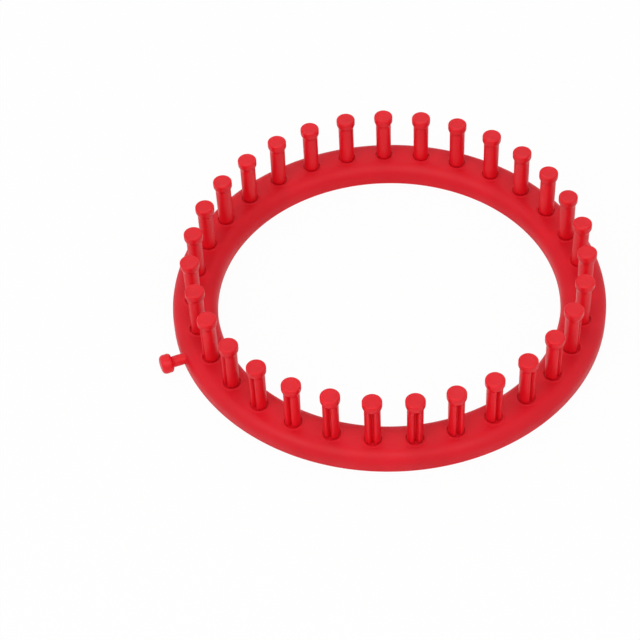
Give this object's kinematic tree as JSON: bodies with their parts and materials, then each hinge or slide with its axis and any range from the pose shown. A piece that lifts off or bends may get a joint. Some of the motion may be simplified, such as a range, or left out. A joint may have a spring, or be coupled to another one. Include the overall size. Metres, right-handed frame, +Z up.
{
  "type": "round knitting loom",
  "caption": "Round hand-knitting loom: a rounded hollow ring with upright grooved pegs around it for tubular knitting and a side peg that holds the yarn's end.",
  "frame": {"origin": "on the ring's axis, in the plane that the ring rests on", "axes": "+Z up along the ring's axis; +X through the first peg; the side peg points near -X"},
  "size_m": [0.2005, 0.19, 0.0335],
  "materials": {
    "ring_plastic": "smooth moulded, satin gloss",
    "peg_plastic": "smooth moulded, glossy"
  },
  "bodies": {
    "loom": {"ring": "ring_plastic", "peg_01": "peg_plastic", "peg_02": "peg_plastic", "peg_03": "peg_plastic", "peg_04": "peg_plastic", "peg_05": "peg_plastic", "peg_06": "peg_plastic", "peg_07": "peg_plastic", "peg_08": "peg_plastic", "peg_09": "peg_plastic", "peg_10": "peg_plastic", "peg_11": "peg_plastic", "peg_12": "peg_plastic", "peg_13": "peg_plastic", "peg_14": "peg_plastic", "peg_15": "peg_plastic", "peg_16": "peg_plastic", "peg_17": "peg_plastic", "peg_18": "peg_plastic", "peg_19": "peg_plastic", "peg_20": "peg_plastic", "peg_21": "peg_plastic", "peg_22": "peg_plastic", "peg_23": "peg_plastic", "peg_24": "peg_plastic", "peg_25": "peg_plastic", "peg_26": "peg_plastic", "peg_27": "peg_plastic", "peg_28": "peg_plastic", "peg_29": "peg_plastic", "peg_30": "peg_plastic", "peg_31": "peg_plastic", "anchor_peg": "peg_plastic"}
  },
  "joints": []
}
